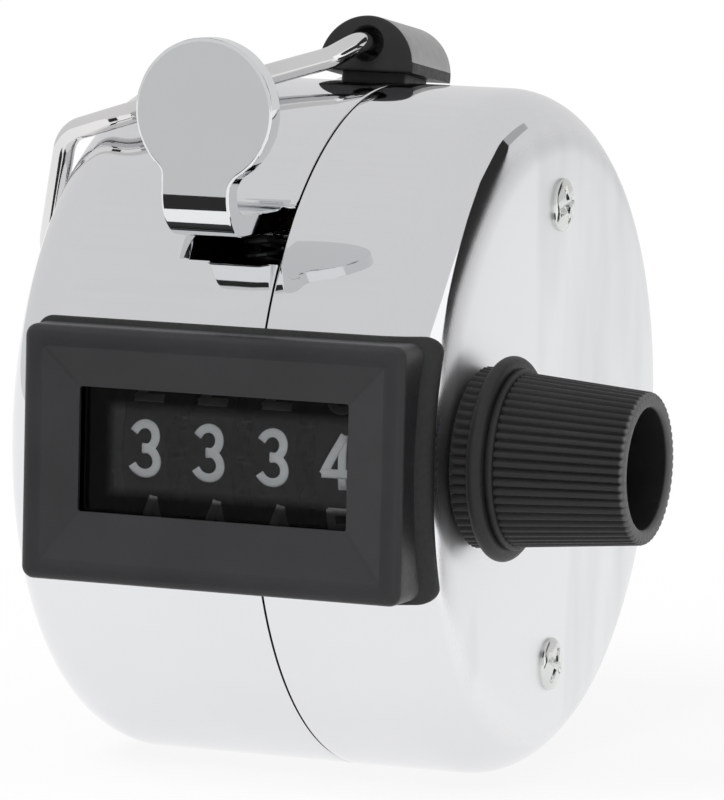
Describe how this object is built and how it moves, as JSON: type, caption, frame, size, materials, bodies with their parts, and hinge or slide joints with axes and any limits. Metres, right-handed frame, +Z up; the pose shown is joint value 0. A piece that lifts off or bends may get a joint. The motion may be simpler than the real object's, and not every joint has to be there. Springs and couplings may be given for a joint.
{
  "type": "hand tally counter",
  "caption": "Drum-shaped mechanical hand tally counter with number wheels in a framed window, thumb lever, ribbed reset knob and a swinging wire finger ring.",
  "frame": {"origin": "middle of the bounding box's bottom face, in the plane that the drum stands on", "axes": "+X towards the reset knob, -Y out of the number window, +Z up to the finger ring's boss"},
  "size_m": [0.0414, 0.044, 0.046],
  "materials": {
    "chrome": "polished chrome plating",
    "zinc_steel": "plain zinc-plated steel",
    "brass": "turned brass",
    "black_plastic": "semi-gloss moulded black plastic",
    "black_rubber": "matt black gasket",
    "clear_plastic": "clear polished window"
  },
  "bodies": {
    "case": {"left_shell": "chrome", "right_shell": "chrome", "bezel_frame": "black_plastic", "bezel_gasket": "black_rubber", "window_lens": "clear_plastic", "frame_plate_left": "zinc_steel", "frame_plate_right": "zinc_steel", "frame_spacer_upper": "zinc_steel", "frame_spacer_lower": "zinc_steel", "frame_spacer_front": "zinc_steel", "spring_shelf": "zinc_steel", "shaft_bush_left": "brass", "shaft_bush_right": "brass", "pinion_shaft": "zinc_steel", "lever_pivot_pin": "zinc_steel", "case_post_upper": "zinc_steel", "case_post_lower": "zinc_steel", "case_screw_upper": "chrome", "case_screw_lower": "chrome", "ring_boss": "black_plastic", "detent_spring": "zinc_steel", "lever_return_spring": "zinc_steel"},
    "lever": {"thumb_lever": "chrome", "lever_sleeve": "brass", "drive_arm": "zinc_steel", "pawl_pin": "zinc_steel"},
    "pawl": {"drive_pawl": "zinc_steel"},
    "shaft": {"wheel_shaft": "zinc_steel", "shaft_clip": "zinc_steel", "reset_knob": "black_plastic", "knob_screw": "zinc_steel"},
    "units": {"wheel_units": "black_plastic", "ratchet_wheel": "zinc_steel"},
    "tens": {"wheel_tens": "black_plastic"},
    "hundreds": {"wheel_hundreds": "black_plastic"},
    "thousands": {"wheel_thousands": "black_plastic"},
    "pinion_tens": {"carry_pinion_tens": "brass"},
    "pinion_hundreds": {"carry_pinion_hundreds": "brass"},
    "pinion_thousands": {"carry_pinion_thousands": "brass"},
    "ring": {"finger_ring": "chrome"}
  },
  "joints": [
    {"name": "lever_press", "type": "hinge", "parent": "case", "child": "lever", "pos_m": [-0.00111, -0.0072, 0.0342], "axis": [1, 0, 0], "range_deg": [0, 8.8], "stiffness_Nm_per_rad": 0.08, "springref_deg": -8.59, "deforming": ["lever_return_spring"]},
    {"name": "pawl_swing", "type": "hinge", "parent": "lever", "child": "pawl", "pos_m": [-0.00111, -0.0083, 0.0276], "axis": [-1, 0, 0], "range_deg": [0, 10], "stiffness_Nm_per_rad": 0.0005, "springref_deg": -5.73},
    {"name": "knob_turn", "type": "hinge", "parent": "case", "child": "shaft", "pos_m": [-0.00111, -0.01215, 0.021], "axis": [1, 0, 0], "continuous": true},
    {"name": "units_turn", "type": "hinge", "parent": "case", "child": "units", "pos_m": [-0.00111, -0.01215, 0.021], "axis": [-1, 0, 0], "continuous": true},
    {"name": "tens_turn", "type": "hinge", "parent": "case", "child": "tens", "pos_m": [-0.00111, -0.01215, 0.021], "axis": [-1, 0, 0], "continuous": true},
    {"name": "hundreds_turn", "type": "hinge", "parent": "case", "child": "hundreds", "pos_m": [-0.00111, -0.01215, 0.021], "axis": [-1, 0, 0], "continuous": true},
    {"name": "thousands_turn", "type": "hinge", "parent": "case", "child": "thousands", "pos_m": [-0.00111, -0.01215, 0.021], "axis": [-1, 0, 0], "continuous": true},
    {"name": "pinion_tens_turn", "type": "hinge", "parent": "case", "child": "pinion_tens", "pos_m": [-0.00111, -0.00788, 0.0136], "axis": [-1, 0, 0], "continuous": true},
    {"name": "pinion_hundreds_turn", "type": "hinge", "parent": "case", "child": "pinion_hundreds", "pos_m": [-0.00111, -0.00788, 0.0136], "axis": [-1, 0, 0], "continuous": true},
    {"name": "pinion_thousands_turn", "type": "hinge", "parent": "case", "child": "pinion_thousands", "pos_m": [-0.00111, -0.00788, 0.0136], "axis": [-1, 0, 0], "continuous": true},
    {"name": "ring_swing", "type": "hinge", "parent": "case", "child": "ring", "pos_m": [-0.00346, 0.0051, 0.04381], "axis": [0, 0.989, -0.1478], "range_deg": [0, 200]}
  ],
  "couplings": [
    {"joint": "tens_turn", "follows": "units_turn", "ratio": 0.1},
    {"joint": "hundreds_turn", "follows": "units_turn", "ratio": 0.01},
    {"joint": "thousands_turn", "follows": "units_turn", "ratio": 0.001},
    {"joint": "pinion_tens_turn", "follows": "units_turn", "ratio": -0.25},
    {"joint": "pinion_hundreds_turn", "follows": "units_turn", "ratio": -0.025},
    {"joint": "pinion_thousands_turn", "follows": "units_turn", "ratio": -0.0025}
  ]
}
